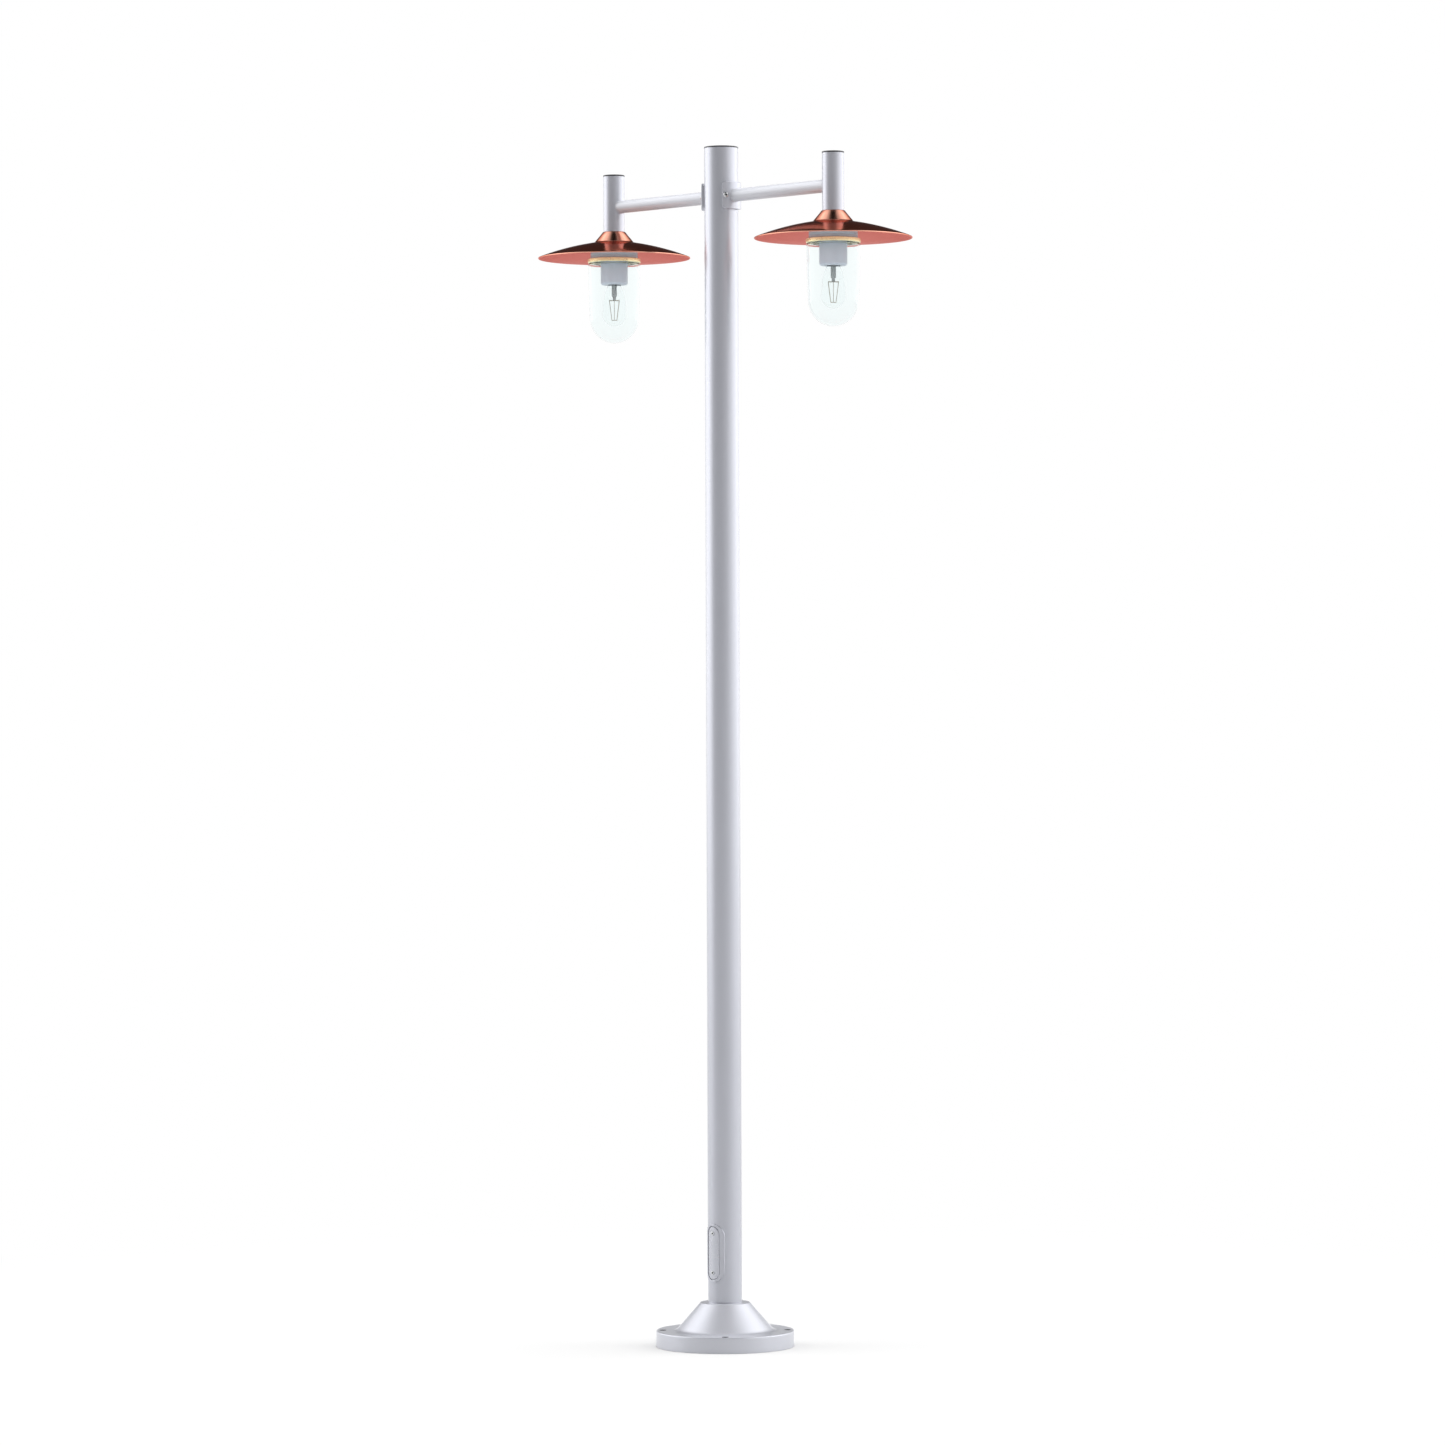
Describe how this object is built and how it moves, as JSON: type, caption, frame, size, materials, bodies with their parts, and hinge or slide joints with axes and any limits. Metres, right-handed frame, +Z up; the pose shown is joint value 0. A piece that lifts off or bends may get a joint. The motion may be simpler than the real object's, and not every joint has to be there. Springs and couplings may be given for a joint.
{
  "type": "lamp post",
  "caption": "Tall round lamp post with a cast base, a service door, and horizontal arms that carry hanging well-glass lanterns under wide copper shades.",
  "frame": {"origin": "centre of the base's underside, on the ground", "axes": "+Z up along the pole; the arms run along X; the service door faces -Y"},
  "size_m": [1.2316, 0.4116, 3.174],
  "materials": {
    "painted_silver": "satin silver-grey powder coat",
    "cap_grey": "moulded dark grey",
    "copper": "polished and lacquered spun copper",
    "gallery_grey": "satin cast, grey",
    "ring_brass": "turned, bright",
    "brass": "turned",
    "cover_lilac": "smooth moulded grey",
    "porcelain": "glazed",
    "clear_glass": "clear, blown",
    "bulb_glass": "clear, blown",
    "stem_glass": "pressed",
    "filament": "coated rods on wire",
    "cap_nickel": "nickel-plated thread",
    "silicone": "translucent silicone",
    "rubber_black": "moulded",
    "lead_black": "round sheathed cable",
    "stainless": "stainless fasteners",
    "zinc": "zinc-plated",
    "box_grey": "moulded grey",
    "block_cream": "moulded cream",
    "gland_black": "moulded black"
  },
  "bodies": {
    "post": {"base_casting": "painted_silver", "base_set_screws": "stainless", "pole_foot": "painted_silver", "pole_tube": "painted_silver", "pole_cap": "cap_grey", "pole_grommets": "rubber_black", "plate_bolts": "stainless", "rivet_nuts": "zinc", "door_frame": "painted_silver", "terminal_bracket": "zinc", "terminal_box": "box_grey", "terminal_lid": "box_grey", "terminal_block": "block_cream", "box_glands": "gland_black", "box_screws": "stainless", "earth_stud": "brass", "left_saddle_plate": "painted_silver", "left_arm_tube": "painted_silver", "left_stem_tube": "painted_silver", "left_stem_cap": "cap_grey", "left_lamp_lead": "lead_black", "left_shade": "copper", "left_neck_collar": "gallery_grey", "left_gallery_flange": "gallery_grey", "left_gallery_screws": "stainless", "left_holder_cover": "cover_lilac", "left_lampholder": "porcelain", "left_holder_nipple": "brass", "left_holder_locknuts": "brass", "right_saddle_plate": "painted_silver", "right_arm_tube": "painted_silver", "right_stem_tube": "painted_silver", "right_stem_cap": "cap_grey", "right_lamp_lead": "lead_black", "right_shade": "copper", "right_neck_collar": "gallery_grey", "right_gallery_flange": "gallery_grey", "right_gallery_screws": "stainless", "right_holder_cover": "cover_lilac", "right_lampholder": "porcelain", "right_holder_nipple": "brass", "right_holder_locknuts": "brass"},
    "door": {"door_cover": "painted_silver", "door_gasket": "rubber_black"},
    "door_screw_high": {"door_screw_upper": "stainless"},
    "door_screw_low": {"door_screw_lower": "stainless"},
    "left_glass": {"left_globe_glass": "clear_glass", "left_glass_gasket": "silicone"},
    "left_ring": {"left_glass_ring": "ring_brass"},
    "left_bulb": {"left_bulb_cap": "cap_nickel", "left_bulb_glass": "bulb_glass", "left_bulb_stem": "stem_glass", "left_bulb_filaments": "filament"},
    "right_glass": {"right_globe_glass": "clear_glass", "right_glass_gasket": "silicone"},
    "right_ring": {"right_glass_ring": "ring_brass"},
    "right_bulb": {"right_bulb_cap": "cap_nickel", "right_bulb_glass": "bulb_glass", "right_bulb_stem": "stem_glass", "right_bulb_filaments": "filament"}
  },
  "joints": [
    {"name": "door_pull", "type": "slide", "parent": "post", "child": "door", "axis": [0, -1, 0], "range_m": [0, 0.08]},
    {"name": "door_screw_high_turn", "type": "hinge", "parent": "door", "child": "door_screw_high", "pos_m": [0, -0.0446, 0.3005], "axis": [0, -1, 0], "continuous": true},
    {"name": "door_screw_low_turn", "type": "hinge", "parent": "door", "child": "door_screw_low", "pos_m": [0, -0.0446, 0.1965], "axis": [0, -1, 0], "continuous": true},
    {"name": "left_glass_drop", "type": "slide", "parent": "post", "child": "left_glass", "axis": [0, 0, -1], "range_m": [0, 0.24]},
    {"name": "left_ring_turn", "type": "hinge", "parent": "left_glass", "child": "left_ring", "pos_m": [-0.41, 0, 2.898], "axis": [0, 0, -1], "continuous": true},
    {"name": "left_bulb_drop", "type": "slide", "parent": "post", "child": "left_bulb", "axis": [0, 0, -1], "range_m": [0, 0.03]},
    {"name": "right_glass_drop", "type": "slide", "parent": "post", "child": "right_glass", "axis": [0, 0, -1], "range_m": [0, 0.24]},
    {"name": "right_ring_turn", "type": "hinge", "parent": "right_glass", "child": "right_ring", "pos_m": [0.41, 0, 2.898], "axis": [0, 0, -1], "continuous": true},
    {"name": "right_bulb_drop", "type": "slide", "parent": "post", "child": "right_bulb", "axis": [0, 0, -1], "range_m": [0, 0.03]}
  ]
}
